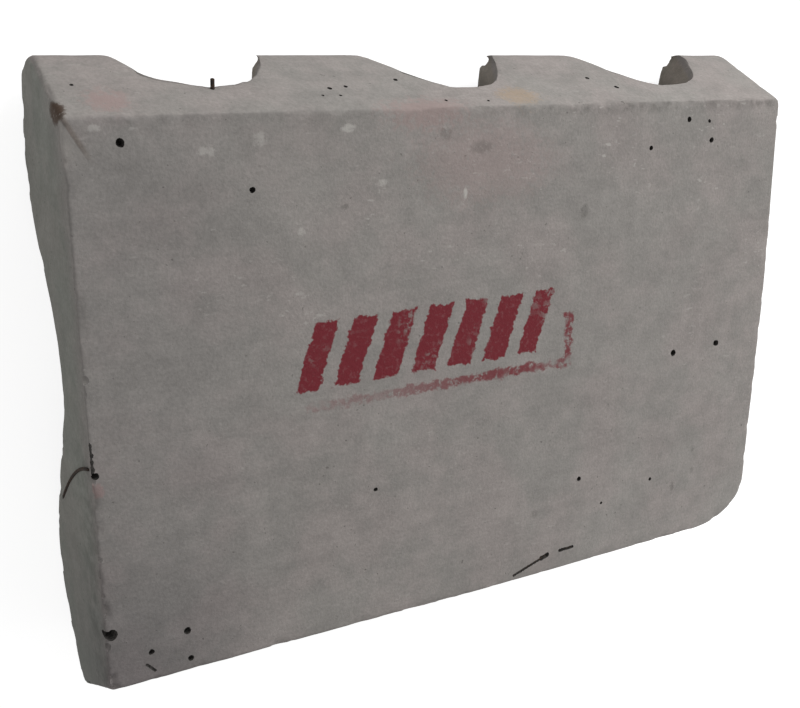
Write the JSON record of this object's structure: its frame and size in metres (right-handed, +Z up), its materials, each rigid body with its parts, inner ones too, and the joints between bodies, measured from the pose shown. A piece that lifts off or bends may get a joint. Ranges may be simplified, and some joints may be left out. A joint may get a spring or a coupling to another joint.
{
  "type": "refractory block",
  "caption": "Precast refractory block with a flat face, sloped long sides and an egg-crate bumpy side that breaks up a falling stream of hot metal",
  "frame": {"origin": "on the floor that the bumps stand on, under the middle of the block's box", "axes": "+X along the length, +Y across the width, +Z up out of the flat face"},
  "size_m": [0.599, 0.4494, 0.11],
  "materials": {
    "castable": "matte"
  },
  "bodies": {
    "root": {"refractory_block": "castable"}
  },
  "joints": []
}
